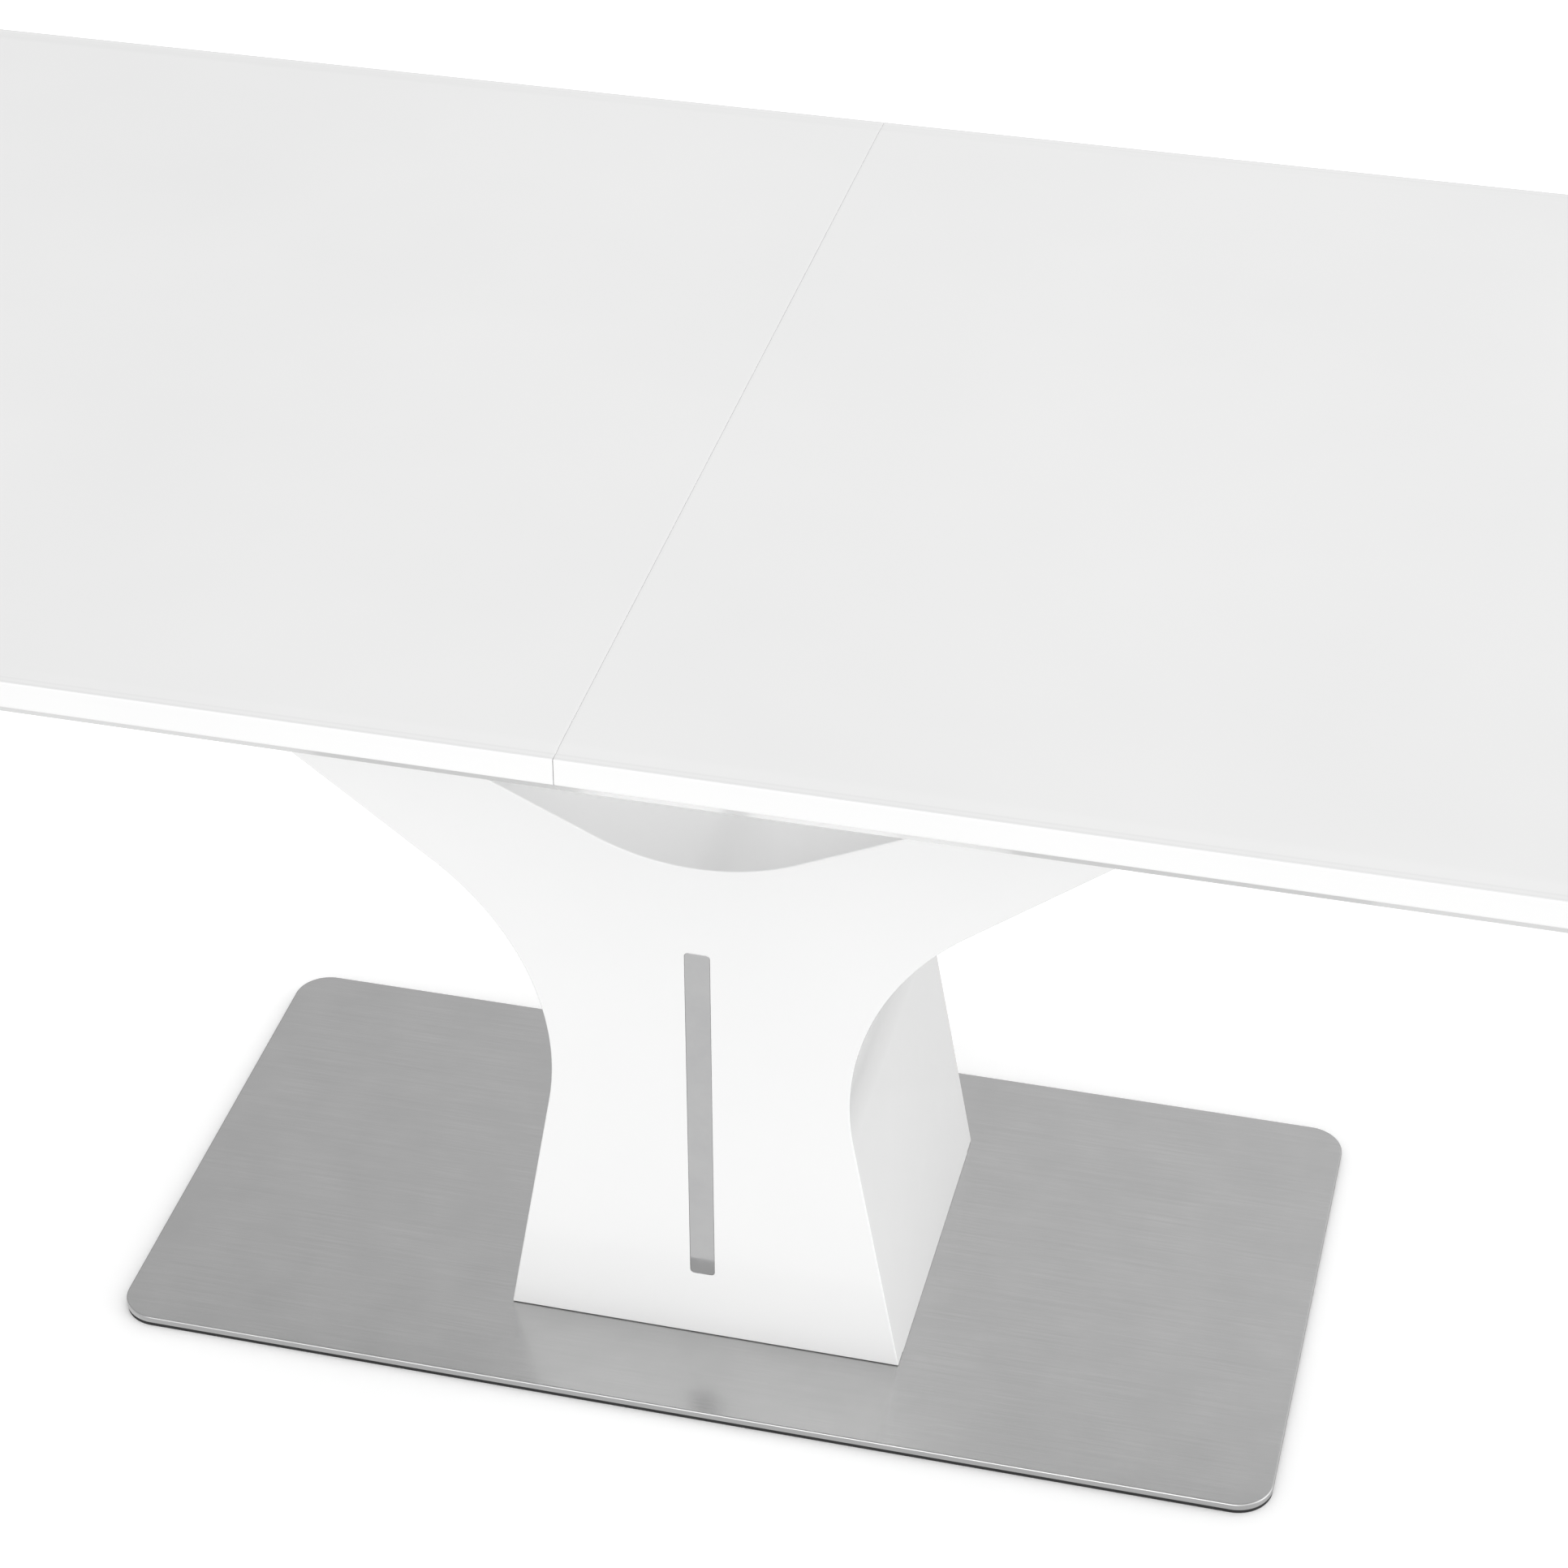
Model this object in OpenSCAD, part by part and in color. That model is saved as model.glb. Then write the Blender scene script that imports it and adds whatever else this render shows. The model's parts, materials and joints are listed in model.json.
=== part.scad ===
// Extendable pedestal dining table, shown closed.
// Two tabletop halves slide apart on aluminium rails. A rack and pinion equaliser keeps
// them in step, and a folding leaf is stored in the well between the rails.
// Origin: on the floor, under the centre of the pedestal. X runs along the table.

/* [Tabletop] */
// Length of the closed table
table_l = 1600; // [1500:10:1800]
// Width of the table
table_w = 900; // [850:10:1000]
// Height of the top surface above the floor
table_h = 753; // [752:1:780]
// Overall thickness of the tabletop at its middle
top_t = 31; // [28:1:31]
// Height of the upright part of the tabletop's edge
edge_h = 19; // [16:0.5:20]
// Gap at the seam between the closed halves
seam_gap = 0.7; // [0.4:0.1:1.5]
// Travel of each half
travel = 200; // [160:5:200]

/* [Pedestal] */
// Depth of the pedestal, front face to back face
ped_d = 273.4; // [240:1:300]
// Lean of the lower sides from upright, degrees
side_lean = 10; // [8:0.5:12]
// Slope of the underside of each arm above level, degrees
arm_slope = 37.6; // [35:0.2:40]
// Radius of the hollow in each side
side_r = 212; // [200:1:220]
// Half width of the pedestal at its waist
waist_half = 112.8; // [105:1:120]
// Height of the waist above the floor
waist_z = 255; // [245:1:265]
// Height of the bottom of the scoop between the arms
scoop_z = 449.6; // [440:1:460]
// Radius of the bottom of the scoop
scoop_r = 177; // [165:1:190]
// Thickness of the front and back panels
panel_t = 16; // [12:1:18]
// Thickness of the curved skins
skin_t = 6; // [4:1:8]

/* [Base] */
// Length of the base plate
base_l = 895; // [850:5:1000]
// Depth of the base plate
base_d = 441; // [400:1:500]
// Corner radius of the base plate
base_r = 28; // [20:1:35]
// Thickness of the black underlay
underlay_t = 3; // [2:0.5:3]
// How far the underlay's edge stands in from the plate's edge
underlay_in = 0.5; // [0.5:0.25:2]
// Thickness of the steel core
core_t = 4.8; // [4:0.1:6]
// Thickness of the folded stainless sheet
cover_t = 1; // [0.8:0.1:1.2]

/* [Inlay] */
// Width of the polished strip
inlay_w = 18.8; // [14:0.2:24]
// Height of the lower end of the strip
inlay_z = 70; // [60:1:90]
// Length of the strip
inlay_l = 304; // [280:1:310]

/* [Slides] */
// Distance of each rail's centre from the table's centre line
rail_y = 300; // [295:1:305]
// Length of the fixed rails
rail_l = 960; // [920:10:1000]
// Module of the equaliser's teeth
tooth_m = 2; // [2:0.25:2]
// Number of teeth on the equaliser's pinion
pinion_teeth = 18; // [18:2:18]

/* [Hidden] */
$fn = 96;

eps = 1;
far = 2000;

// Heights, from the floor up
base_top = underlay_t + core_t + cover_t;
arm_top = 625;
arm_plate_t = 6;
tube_z = arm_top + arm_plate_t;
tube_h = 45;
tube_w = 30;
rail_z = tube_z + tube_h;
rail_h = 38;
under_z = table_h - top_t;

// Ends of the base bolts in the pedestal's bottom block
foot_bolt_x = 90;
foot_bolt_y = 80;
foot_bolt_in = 35;
foot_block_h = 40;

// Pedestal outline
arc_x = waist_half + side_r;
scoop_cz = scoop_z + scoop_r;
scoop_slope = 25;
scoop_run = 170;
horn_r = 180;
horn_slope = 55;
arm_end_x = 450;
inner_d = ped_d - 2 * panel_t;
glue_gap = 0.15;
arm_block_h = 35;

// Line inside the arms that parts the scoop's skin from the side skins, right half
skin_joint = [[0, 420], [200, 480], [380, 640], [380, 900]];

// Recess for the polished strip
inlay_t = 2;
inlay_r = 3;
inlay_gap = 0.2;

// Frame on the arms
tube_x = 433;
plate_x0 = 290;
plate_x1 = 449;
plate_w = 220;
tube_wall = 3;
tube_l = 624;
arm_bolts = [[325, -80], [325, 80], [395, -80], [395, 80]];
tube_bolts = [[tube_x, -60], [tube_x, 60]];
arm_bolt_in = 24;
rail_bolt_in = 9;

// Rails, runners and glides
rail_w = 28;
rail_wall = 3;
hollow_half = 4;
groove_h = 12;
groove_d = 7;
groove_z = rail_z + 19;
run_fit = 0.3;
runner_w = 15.7;
runner_z = rail_z + 3;
runner_top = under_z - 4;
runner_wall = 2.5;
runner_x0 = -620;
runner_x1 = 160;
glide_x0 = -560;
boss_x1 = -20;
outer_y0 = rail_y + rail_w / 2 + run_fit;
inner_y0 = -rail_y + rail_w / 2 + run_fit;
screw_xs = [-560, -300, -60];
screw_ys = [outer_y0 + runner_w / 2, inner_y0 + runner_w / 2];
screw_in = 16;
driver_r = 5.2;
lap = 0.5;

// Stops under the rails and the lugs that meet them
lug_l = 10;
lug_in = 2;
lug_rise = 3;
stop_h = 12;
stop_l = 12;
stop_x1 = runner_x1 - lug_in - lug_l - travel - 0.5;

// Folding leaf
leaf_l = 399;
leaf_w = table_w / 2;
leaf_gap = 0.2;
strap_x = 100;
strap_w = 40;
strap_t = 3;
felt_t = 2;
leaf_z = under_z - 2.3 - 2 * top_t - leaf_gap;
strap_z = leaf_z - felt_t - strap_t;
strap_half = 250;
strap_foot = 62;
tray_screw_y = 35;
tray_screw_in = 8;
felt_y = 130;
felt_half = [15, 85];
pad_xs = [-150, -60, 60, 150];
pad_half = [15, 10];
pad_gap = 0.6;
fold_y = -leaf_w / 2;
fold_z = leaf_z + top_t + leaf_gap / 2;
hinge_xs = [-130, 0, 130];
hinge_t = 1.5;
hinge_r = 3;
hinge_pin_r = 1.5;
hinge_half = 20;
hinge_w = 25;
hinge_gap = 0.2;
knuckle_half = 8;
knuckle_gap = 0.3;

// Equaliser
pitch_r = tooth_m * pinion_teeth / 2;
tooth_p = PI * tooth_m;
press_angle = 20;
backlash = 0.12;
bracket_t = 4;
bracket_z = strap_z - bracket_t;
pinion_z = bracket_z - 16;
pinion_h = 12;
rack_h = 9;
rack_z = pinion_z + 1.5;
rack_back = pitch_r + 10;
rack_x0 = -210;
rack_x1 = 222;
rack_teeth = [-3:34];
axle_r = 4;
axle_fit = 0.05;
axle_head_r = 8;
axle_head_h = 3;
washer_r = 9;
washer_t = 3.8;
play = 0.2;
bracket_half = [125, 50];
guide_half = 32;
guide_lip = 5;
guide_drop = 4;
guide_y1 = 42;
base_circle_r = pitch_r * cos(press_angle);
tip_circle_r = pitch_r + tooth_m;
root_circle_r = pitch_r - 1.25 * tooth_m;
flank_steps = 4;

// Angle that joins each rack to its half
angle_t = 3;
angle_ys = [12, 60];
angle_foot = 35;
angle_drop = 2;

// Alignment dowels at the seam
dowel_r = 5;
dowel_fit = 0.25;
dowel_out = 12;
dowel_in = 24;
socket_in = 14;
dowel_drop = 15;
dowel_ys = [120, 360];
lower_dowel_z = leaf_z + dowel_drop;
upper_dowel_z = leaf_z + 2 * top_t + leaf_gap - dowel_drop;

// Latch under the front edge of the seam
latch_x = 22;
latch_y = -352;
latch_z = under_z - 11;
latch_t = 5;
latch_arm = 2 * latch_x;
latch_half = 10;
latch_over = 4;
latch_play = 0.3;
notch_w = 12;
pivot_in = 14;
pivot_head_r = 7;
pivot_head_h = 3.5;
pivot_collar_r = 8;
stud_r = 4;
stud_end = 3;
keeper_t = 3;
keeper_half = 12;
keeper_tail = 18;

// Screws and bolts
m8_r = 4;
m8_head_r = 6.5;
m8_head_h = 4;
low_head_h = 3;
m6_r = 3;
m6_head_r = 5;
m6_head_h = 4;
m5_r = 2.5;
m5_head_r = 4.5;
m5_head_h = 2.5;
screw_r = 2.2;
screw_head_r = 4.5;
screw_head_h = 2.8;
hole_gap = 0.2;
foot_head_r = 8;
foot_head_h = 3.2;
head_gap = 0.4;
foot_seat_z = underlay_t + foot_head_h + head_gap;

// Colours
lacquer = "white";
mdf = "burlywood";
steel = "silver";
dark_steel = "dimgray";
alloy = "lightgray";
nylon = "black";

// ---- Shared shapes ----

// Flat plate with round corners, standing on z
module round_plate(l, d, r, z, h) {
    translate([0, 0, z])
        linear_extrude(h)
            union() {
                square([l - 2 * r, d], center = true);
                square([l, d - 2 * r], center = true);
                for (sx = [-1, 1], sy = [-1, 1])
                    translate([sx * (l / 2 - r), sy * (d / 2 - r)])
                        circle(r);
            }
}

// Upright rod from z0 to z1
module rod(x, y, z0, z1, r) {
    translate([x, y, z0])
        cylinder(h = z1 - z0, r = r);
}

// Bolt whose shank runs from z0 to z1, with a round head at its lower or upper end
module bolt(x, y, z0, z1, r, head_r, head_h, head_up = false) {
    union() {
        if (head_up) {
            rod(x, y, z0, z1 + head_h / 2, r);
            rod(x, y, z1, z1 + head_h, head_r);
        } else {
            rod(x, y, z0 - head_h / 2, z1, r);
            rod(x, y, z0 - head_h, z0, head_r);
        }
    }
}

// Box between two corners
module block(a, b) {
    translate(a)
        cube(b - a);
}

// Turn a left hand piece into its right hand twin
module twin() {
    rotate([0, 0, 180])
        children();
}

// ---- Pedestal outline ----

function side_low(t) = [arc_x - (side_r + t) * cos(side_lean), waist_z - (side_r + t) * sin(side_lean)];
function side_high(t) = [arc_x - (side_r + t) * sin(arm_slope), waist_z + (side_r + t) * cos(arm_slope)];
function foot_x(t) = side_low(t)[0] + (side_low(t)[1] - base_top) * tan(side_lean);
function arm_edge_z(x, t) = side_high(t)[1] + (x - side_high(t)[0]) * tan(arm_slope);
function scoop_edge(t) = [(scoop_r + t) * sin(scoop_slope), scoop_cz - (scoop_r + t) * cos(scoop_slope)];
function horn_c() = [
    scoop_run - horn_r * sin(scoop_slope),
    scoop_edge(0)[1] + (scoop_run - scoop_edge(0)[0]) * tan(scoop_slope) + horn_r * cos(scoop_slope)
];
function horn_at(t, a) = horn_c() + (horn_r + t) * [sin(a), -cos(a)];
function horn_top(t) = [
    horn_at(t, horn_slope)[0] + (arm_top - horn_at(t, horn_slope)[1]) / tan(horn_slope),
    arm_top
];

// Right half of the outline, inset by t from the curved skins' outer faces
module outline_half(t) {
    difference() {
        polygon([
            [0, base_top],
            [foot_x(t), base_top],
            side_low(t),
            side_high(t),
            [arm_end_x - t, arm_edge_z(arm_end_x - t, t)],
            [arm_end_x - t, arm_top],
            horn_top(t),
            horn_at(t, horn_slope),
            horn_at(t, scoop_slope),
            scoop_edge(t),
            [0, scoop_edge(t)[1]]
        ]);
        translate([arc_x, waist_z])
            circle(side_r + t);
        translate([0, scoop_cz])
            circle(scoop_r + t);
        translate(horn_c())
            circle(horn_r + t);
    }
}

module outline(t) {
    union() {
        outline_half(t);
        mirror([1, 0])
            outline_half(t);
    }
}

// Extrude an outline drawn in X and Z through the depth y0 to y1
module through(y0, y1) {
    translate([0, y1, 0])
        rotate([90, 0, 0])
            linear_extrude(y1 - y0)
                children();
}

// Everything above the line where the skins part
module above_arms() {
    polygon(concat(skin_joint, [for (i = [3:-1:1]) [-skin_joint[i][0], skin_joint[i][1]]]));
}

// ---- Base ----

module base_underlay() {
    color("black")
        round_plate(base_l - 2 * underlay_in, base_d - 2 * underlay_in, base_r - underlay_in, 0, underlay_t);
}

module foot_holes(r) {
    for (sx = [-1, 1], sy = [-1, 1])
        rod(sx * foot_bolt_x, sy * foot_bolt_y, -eps, base_top + foot_block_h + eps, r);
}

module base_core() {
    color(dark_steel)
        difference() {
            round_plate(base_l - 2 * cover_t, base_d - 2 * cover_t, base_r - cover_t, underlay_t, core_t);
            foot_holes(m8_r + hole_gap);
            for (sx = [-1, 1], sy = [-1, 1])
                rod(sx * foot_bolt_x, sy * foot_bolt_y, 0, foot_seat_z, foot_head_r + head_gap);
        }
}

module base_cover() {
    color(steel)
        difference() {
            round_plate(base_l, base_d, base_r, underlay_t, core_t + cover_t);
            round_plate(base_l - 2 * cover_t, base_d - 2 * cover_t, base_r - cover_t, 0, underlay_t + core_t);
            foot_holes(m8_r + hole_gap);
        }
}

module base_bolts() {
    color(dark_steel)
        for (sx = [-1, 1], sy = [-1, 1])
            bolt(
                sx * foot_bolt_x, sy * foot_bolt_y, foot_seat_z, base_top + foot_bolt_in,
                m8_r, foot_head_r, foot_head_h
            );
}

// ---- Pedestal ----

module pedestal_bottom_block() {
    color(mdf)
        difference() {
            intersection() {
                through(-inner_d / 2, inner_d / 2)
                    outline(skin_t);
                block([-far, -far, 0], [far, far, base_top + foot_block_h]);
            }
            foot_holes(m8_r + hole_gap);
        }
}

module pedestal_waist_rib() {
    color(mdf)
        intersection() {
            through(-inner_d / 2, inner_d / 2)
                outline(skin_t + glue_gap);
            block([-far, -far, waist_z - panel_t / 2], [far, far, waist_z + panel_t / 2]);
        }
}

module inlay_shape(gap) {
    r = inlay_r + gap;
    through(-ped_d / 2, -ped_d / 2 + inlay_t)
        translate([0, inlay_z + inlay_l / 2])
            union() {
                square([inlay_w - 2 * inlay_r, inlay_l + 2 * gap], center = true);
                square([inlay_w + 2 * gap, inlay_l - 2 * inlay_r], center = true);
                for (sx = [-1, 1], sz = [-1, 1])
                    translate([sx * (inlay_w / 2 - inlay_r), sz * (inlay_l / 2 - inlay_r)])
                        circle(r);
            }
}

module front_panel() {
    color(lacquer)
        difference() {
            through(-ped_d / 2, -inner_d / 2)
                outline(0);
            translate([0, -eps, 0])
                inlay_shape(inlay_gap);
            inlay_shape(inlay_gap);
        }
}

module back_panel() {
    twin()
        front_panel();
}

module side_skin() {
    color(lacquer)
        through(-inner_d / 2, inner_d / 2)
            difference() {
                outline_half(0);
                outline_half(skin_t);
                above_arms();
            }
}

module left_side_skin() {
    twin()
        side_skin();
}

module right_side_skin() {
    side_skin();
}

module scoop_skin() {
    color(lacquer)
        through(-inner_d / 2, inner_d / 2)
            intersection() {
                difference() {
                    outline(0);
                    outline(skin_t);
                }
                above_arms();
            }
}

module front_inlay() {
    color(steel)
        inlay_shape(0);
}

module back_inlay() {
    twin()
        front_inlay();
}

module holes_at(points, z0, z1, r) {
    for (p = points)
        rod(p[0], p[1], z0, z1, r);
}

module arm_block() {
    color(mdf)
        difference() {
            intersection() {
                through(-inner_d / 2, inner_d / 2)
                    outline_half(skin_t);
                block([0, -far, arm_top - arm_block_h], [far, far, arm_top]);
            }
            holes_at(arm_bolts, arm_top - arm_bolt_in - eps, arm_top + eps, m8_r + hole_gap);
        }
}

module right_arm_block() {
    arm_block();
}

module left_arm_block() {
    twin()
        arm_block();
}

// ---- Frame on the arms ----

module arm_plate() {
    color(dark_steel)
        difference() {
            block([plate_x0, -plate_w / 2, arm_top], [plate_x1, plate_w / 2, tube_z]);
            holes_at(concat(arm_bolts, tube_bolts), arm_top - eps, tube_z + eps, m8_r + hole_gap);
        }
}

module right_arm_plate() {
    arm_plate();
}

module left_arm_plate() {
    twin()
        arm_plate();
}

module arm_plate_bolts() {
    color(steel)
        for (turn = [0, 180])
            rotate([0, 0, turn])
                for (p = arm_bolts)
                    bolt(
                        p[0], p[1], arm_top - arm_bolt_in, tube_z,
                        m8_r, m8_head_r, low_head_h, head_up = true
                    );
}

module cross_tube() {
    color(dark_steel)
        difference() {
            block([tube_x - tube_w / 2, -tube_l / 2, tube_z], [tube_x + tube_w / 2, tube_l / 2, rail_z]);
            block(
                [tube_x - tube_w / 2 + tube_wall, -tube_l / 2 - eps, tube_z + tube_wall],
                [tube_x + tube_w / 2 - tube_wall, tube_l / 2 + eps, rail_z - tube_wall]
            );
            holes_at(tube_bolts, tube_z - eps, rail_z + eps, m8_r + hole_gap);
            for (sy = [-1, 1])
                rod(tube_x, sy * rail_y, tube_z - eps, rail_z + eps, m6_r + hole_gap);
        }
}

module right_cross_tube() {
    cross_tube();
}

module left_cross_tube() {
    twin()
        cross_tube();
}

module cross_tube_bolts() {
    color(steel)
        for (turn = [0, 180])
            rotate([0, 0, turn])
                for (p = tube_bolts)
                    bolt(p[0], p[1], arm_top, rail_z, m8_r, m8_head_r, m8_head_h, head_up = true);
}

module back_fixed_rail() {
    color(alloy)
        difference() {
            block(
                [-rail_l / 2, rail_y - rail_w / 2, rail_z],
                [rail_l / 2, rail_y + rail_w / 2, rail_z + rail_h]
            );
            for (side = [-1, 1])
                block(
                    [-rail_l / 2 - eps, rail_y + side * rail_w / 2 - groove_d, groove_z - groove_h / 2],
                    [rail_l / 2 + eps, rail_y + side * rail_w / 2 + groove_d, groove_z + groove_h / 2]
                );
            block(
                [-rail_l / 2 - eps, rail_y - hollow_half, rail_z + rail_wall],
                [rail_l / 2 + eps, rail_y + hollow_half, rail_z + rail_h - rail_wall]
            );
            for (x = [-tube_x, tube_x])
                rod(x, rail_y, rail_z - eps, rail_z + 2 * rail_wall, m6_r + hole_gap);
            for (x = [-strap_x, strap_x])
                rod(x, rail_y, rail_z - eps, rail_z + 2 * rail_wall, m5_r + hole_gap);
        }
}

module front_fixed_rail() {
    twin()
        back_fixed_rail();
}

module rail_bolts() {
    color(steel)
        for (x = [-tube_x, tube_x], sy = [-1, 1])
            bolt(x, sy * rail_y, tube_z, rail_z + rail_bolt_in, m6_r, m6_head_r, m6_head_h);
}

module travel_stop() {
    block(
        [stop_x1 - stop_l, rail_y, rail_z - stop_h],
        [stop_x1, rail_y + rail_w / 2 + runner_w, rail_z]
    );
}

module travel_stops() {
    color(dark_steel) {
        travel_stop();
        twin()
            travel_stop();
    }
}

module leaf_rest_pads() {
    color(nylon)
        for (x = pad_xs, sy = [-1, 1])
            block(
                [x - pad_half[0], sy * rail_y - pad_half[1], rail_z + rail_h],
                [x + pad_half[0], sy * rail_y + pad_half[1], under_z - pad_gap]
            );
}

// ---- Leaf tray ----

module tray_strap() {
    color(dark_steel)
        difference() {
            union() {
                block(
                    [strap_x - strap_w / 2, -strap_half, strap_z],
                    [strap_x + strap_w / 2, strap_half, strap_z + strap_t]
                );
                for (sy = [-1, 1]) {
                    translate([strap_x, sy * (strap_half - strap_t / 2), (strap_z + rail_z) / 2])
                        cube([strap_w, strap_t, rail_z - strap_z], center = true);
                    translate([strap_x, sy * (strap_half + (strap_foot - strap_t) / 2), rail_z - strap_t / 2])
                        cube([strap_w, strap_foot + strap_t, strap_t], center = true);
                }
            }
            for (sy = [-1, 1]) {
                rod(strap_x, sy * rail_y, strap_z, rail_z + eps, m5_r + hole_gap);
                rod(strap_x, sy * tray_screw_y, strap_z - eps, strap_z + strap_t + eps, m5_r + hole_gap);
            }
        }
}

module right_tray_strap() {
    tray_strap();
}

module left_tray_strap() {
    twin()
        tray_strap();
}

module tray_screws() {
    color(steel)
        for (sx = [-1, 1], sy = [-1, 1]) {
            bolt(
                sx * strap_x, sy * rail_y, rail_z - strap_t, rail_z + tray_screw_in,
                m5_r, m5_head_r, m5_head_h
            );
            bolt(
                sx * strap_x, sy * tray_screw_y, bracket_z, strap_z + strap_t,
                m5_r, m5_head_r, m5_head_h
            );
        }
}

module tray_felts() {
    color(dark_steel)
        for (sx = [-1, 1], sy = [-1, 1])
            block(
                [sx * strap_x - felt_half[0], sy * felt_y - felt_half[1], strap_z + strap_t],
                [sx * strap_x + felt_half[0], sy * felt_y + felt_half[1], leaf_z]
            );
}

// ---- Equaliser ----

module pinion_bracket() {
    color(dark_steel)
        difference() {
            block(
                [-bracket_half[0], -bracket_half[1], bracket_z],
                [bracket_half[0], bracket_half[1], strap_z]
            );
            rod(0, 0, bracket_z - eps, strap_z + eps, axle_r + axle_fit);
            for (sx = [-1, 1], sy = [-1, 1])
                rod(sx * strap_x, sy * tray_screw_y, bracket_z - eps, strap_z + eps, m5_r + hole_gap);
        }
}

module pinion_axle() {
    color(steel)
        bolt(0, 0, pinion_z - play - washer_t, strap_z, axle_r, axle_head_r, axle_head_h);
}

module pinion_washers() {
    color(alloy)
        difference() {
            union() {
                rod(0, 0, pinion_z - play - washer_t, pinion_z - play, washer_r);
                rod(0, 0, pinion_z + pinion_h + play, bracket_z, washer_r);
            }
            rod(0, 0, pinion_z - 2 * washer_t, bracket_z + eps, axle_r + hole_gap);
        }
}

// Guide that holds a rack against the pinion
module rack_guide() {
    color(nylon)
        difference() {
            block([-guide_half, pitch_r + guide_lip, rack_z - guide_drop], [guide_half, guide_y1, bracket_z]);
            block(
                [-guide_half - eps, pitch_r, rack_z - run_fit],
                [guide_half + eps, rack_back + run_fit, rack_z + rack_h + run_fit]
            );
        }
}

module back_rack_guide() {
    rack_guide();
}

module front_rack_guide() {
    twin()
        rack_guide();
}

// Polar angle of an involute of the base circle where it reaches radius r
function roll(r) = sqrt(max(0, pow(r / base_circle_r, 2) - 1));
function inv_angle(r) = roll(r) * 180 / PI - atan(roll(r));
function half_tooth(r) =
    90 / pinion_teeth - backlash / pitch_r * 180 / PI + inv_angle(pitch_r) - inv_angle(r);
function flank_r(i) = base_circle_r + (tip_circle_r - base_circle_r) * i / flank_steps;
function polar(r, a) = [r * cos(a), r * sin(a)];

module equaliser_pinion() {
    color("ivory")
        difference() {
            translate([0, 0, pinion_z])
                rotate([0, 0, 90])
                    linear_extrude(pinion_h)
                        polygon([
                            for (k = [0:pinion_teeth - 1])
                                let (mid = 360 * k / pinion_teeth)
                                    each concat(
                                        [polar(root_circle_r, mid - half_tooth(base_circle_r))],
                                        [
                                            for (i = [0:flank_steps])
                                                polar(flank_r(i), mid - half_tooth(flank_r(i)))
                                        ],
                                        [
                                            for (i = [flank_steps:-1:0])
                                                polar(flank_r(i), mid + half_tooth(flank_r(i)))
                                        ],
                                        [polar(root_circle_r, mid + half_tooth(base_circle_r))]
                                    )
                        ]);
            rod(0, 0, pinion_z - eps, pinion_z + pinion_h + eps, axle_r + axle_fit);
        }
}

module left_rack() {
    half_pitch_t = tooth_p / 4 - backlash;
    tip_half = half_pitch_t - tooth_m * tan(press_angle);
    root_half = half_pitch_t + 1.25 * tooth_m * tan(press_angle);
    tip_y = pitch_r - tooth_m;
    root_y = pitch_r + 1.25 * tooth_m;
    color(alloy)
        translate([0, 0, rack_z])
            linear_extrude(rack_h)
                polygon(concat(
                    [[rack_x0, rack_back], [rack_x0, root_y]],
                    [
                        for (k = rack_teeth)
                            let (mid = (k + 0.5) * tooth_p)
                                each [
                                    [mid - root_half, root_y],
                                    [mid - tip_half, tip_y],
                                    [mid + tip_half, tip_y],
                                    [mid + root_half, root_y]
                                ]
                    ],
                    [[rack_x1, root_y], [rack_x1, rack_back]]
                ));
}

module left_rack_bracket() {
    color(dark_steel)
        union() {
            block([rack_x0 - angle_t, angle_ys[0], rack_z - angle_drop], [rack_x0, angle_ys[1], under_z]);
            block(
                [rack_x0 - angle_foot, angle_ys[0], under_z - angle_t],
                [rack_x0 - angle_t + lap, angle_ys[1], under_z]
            );
        }
}

module right_rack() {
    twin()
        left_rack();
}

module right_rack_bracket() {
    twin()
        left_rack_bracket();
}

// ---- Sliding halves ----

// Edge profile across a width w: upright edge, then a 45 degree bevel beneath
module edge_profile(w) {
    bevel = top_t - edge_h;
    polygon([
        [-w / 2, 0],
        [-w / 2, -edge_h],
        [-w / 2 + bevel, -top_t],
        [w / 2 - bevel, -top_t],
        [w / 2, -edge_h],
        [w / 2, 0]
    ]);
}

module left_tabletop() {
    color(lacquer)
        difference() {
            intersection() {
                translate([0, 0, table_h])
                    rotate([90, 0, 90])
                        linear_extrude(table_l, center = true)
                            edge_profile(table_w);
                translate([0, 0, table_h])
                    through(-table_w / 2 - eps, table_w / 2 + eps)
                        edge_profile(table_l);
                block([-far, -far, 0], [-seam_gap / 2, far, far]);
            }
            for (y = dowel_ys) {
                translate([-dowel_in, y, table_h - dowel_drop])
                    rotate([0, 90, 0])
                        cylinder(h = dowel_in + eps, r = dowel_r);
                translate([-socket_in, -y, table_h - dowel_drop])
                    rotate([0, 90, 0])
                        cylinder(h = socket_in + eps, r = dowel_r + dowel_fit);
            }
            for (x = screw_xs, y = screw_ys)
                rod(x, y, under_z - eps, under_z + screw_in + hole_gap, screw_r);
            rod(-latch_x, latch_y, under_z - eps, under_z + pivot_in + hole_gap, m8_r);
        }
}

module right_tabletop() {
    twin()
        left_tabletop();
}

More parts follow.
